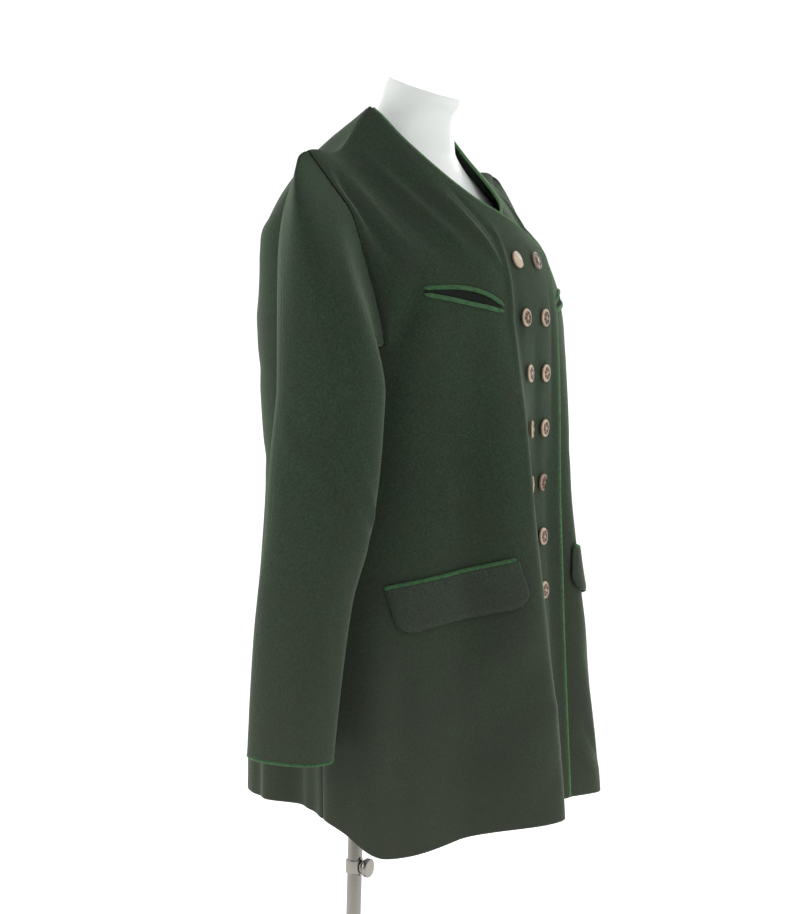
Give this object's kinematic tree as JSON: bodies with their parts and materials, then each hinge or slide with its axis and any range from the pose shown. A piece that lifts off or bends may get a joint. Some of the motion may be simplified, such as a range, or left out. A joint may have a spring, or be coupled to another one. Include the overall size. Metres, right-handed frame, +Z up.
{
  "type": "tyrolean loden jacket on a dress form",
  "caption": "Long double-breasted collarless loden jacket with green edging, horn buttons and slit and flap pockets, worn by a limbless dress form on a pole stand.",
  "frame": {"origin": "on the floor, under the middle of the pole, at the middle of the base's underside", "axes": "+Z up, the wearer faces -Y, the wearer's right hand is at -X"},
  "size_m": [0.609, 0.4694, 1.4443],
  "materials": {
    "loden": "felted dark green wool, faintly flecked, matt",
    "green_edging": "corded grass green wool edging",
    "pocketing": "dark green pocket cloth",
    "staghorn": null,
    "form_white": "smooth white shell, satin",
    "bright_steel": "bright tube",
    "base_steel": "satin disc"
  },
  "bodies": {
    "stand": {"base": "base_steel", "tube": "bright_steel", "clamp_collar": "bright_steel"},
    "thumb_screw": {"thumb_screw": "bright_steel"},
    "dressed_form": {"pole": "bright_steel", "dress_form": "form_white", "front_right": "loden", "front_left": "loden", "back_right": "loden", "back_left": "loden", "sleeve_upper_right": "loden", "sleeve_upper_left": "loden", "sleeve_under_right": "loden", "sleeve_under_left": "loden", "flap_right": "loden", "flap_left": "loden", "edging_front_right": "green_edging", "edging_front_left": "green_edging", "edging_back_neck": "green_edging", "edging_cuff_right": "green_edging", "edging_cuff_left": "green_edging", "jet_flap_right": "green_edging", "jet_flap_left": "green_edging", "breast_lip_lower_right": "green_edging", "breast_lip_lower_left": "green_edging", "breast_lip_upper_right": "green_edging", "breast_lip_upper_left": "green_edging", "breast_pocketing_right": "pocketing", "breast_pocketing_left": "pocketing", "button_outer_1": "staghorn", "button_outer_2": "staghorn", "button_outer_3": "staghorn", "button_outer_4": "staghorn", "button_outer_5": "staghorn", "button_outer_6": "staghorn", "button_outer_7": "staghorn", "button_inner_1": "staghorn", "button_inner_2": "staghorn", "button_inner_3": "staghorn", "button_inner_4": "staghorn", "button_inner_5": "staghorn", "button_inner_6": "staghorn", "button_inner_7": "staghorn"}
  },
  "joints": [
    {"name": "height_slide", "type": "slide", "parent": "stand", "child": "dressed_form", "axis": [0, 0, 1], "range_m": [-0.1, 0.2]},
    {"name": "thumb_screw_turn", "type": "hinge", "parent": "stand", "child": "thumb_screw", "pos_m": [0, 0, 0.525], "axis": [0, -1, 0], "range_deg": [-360, 0]}
  ]
}
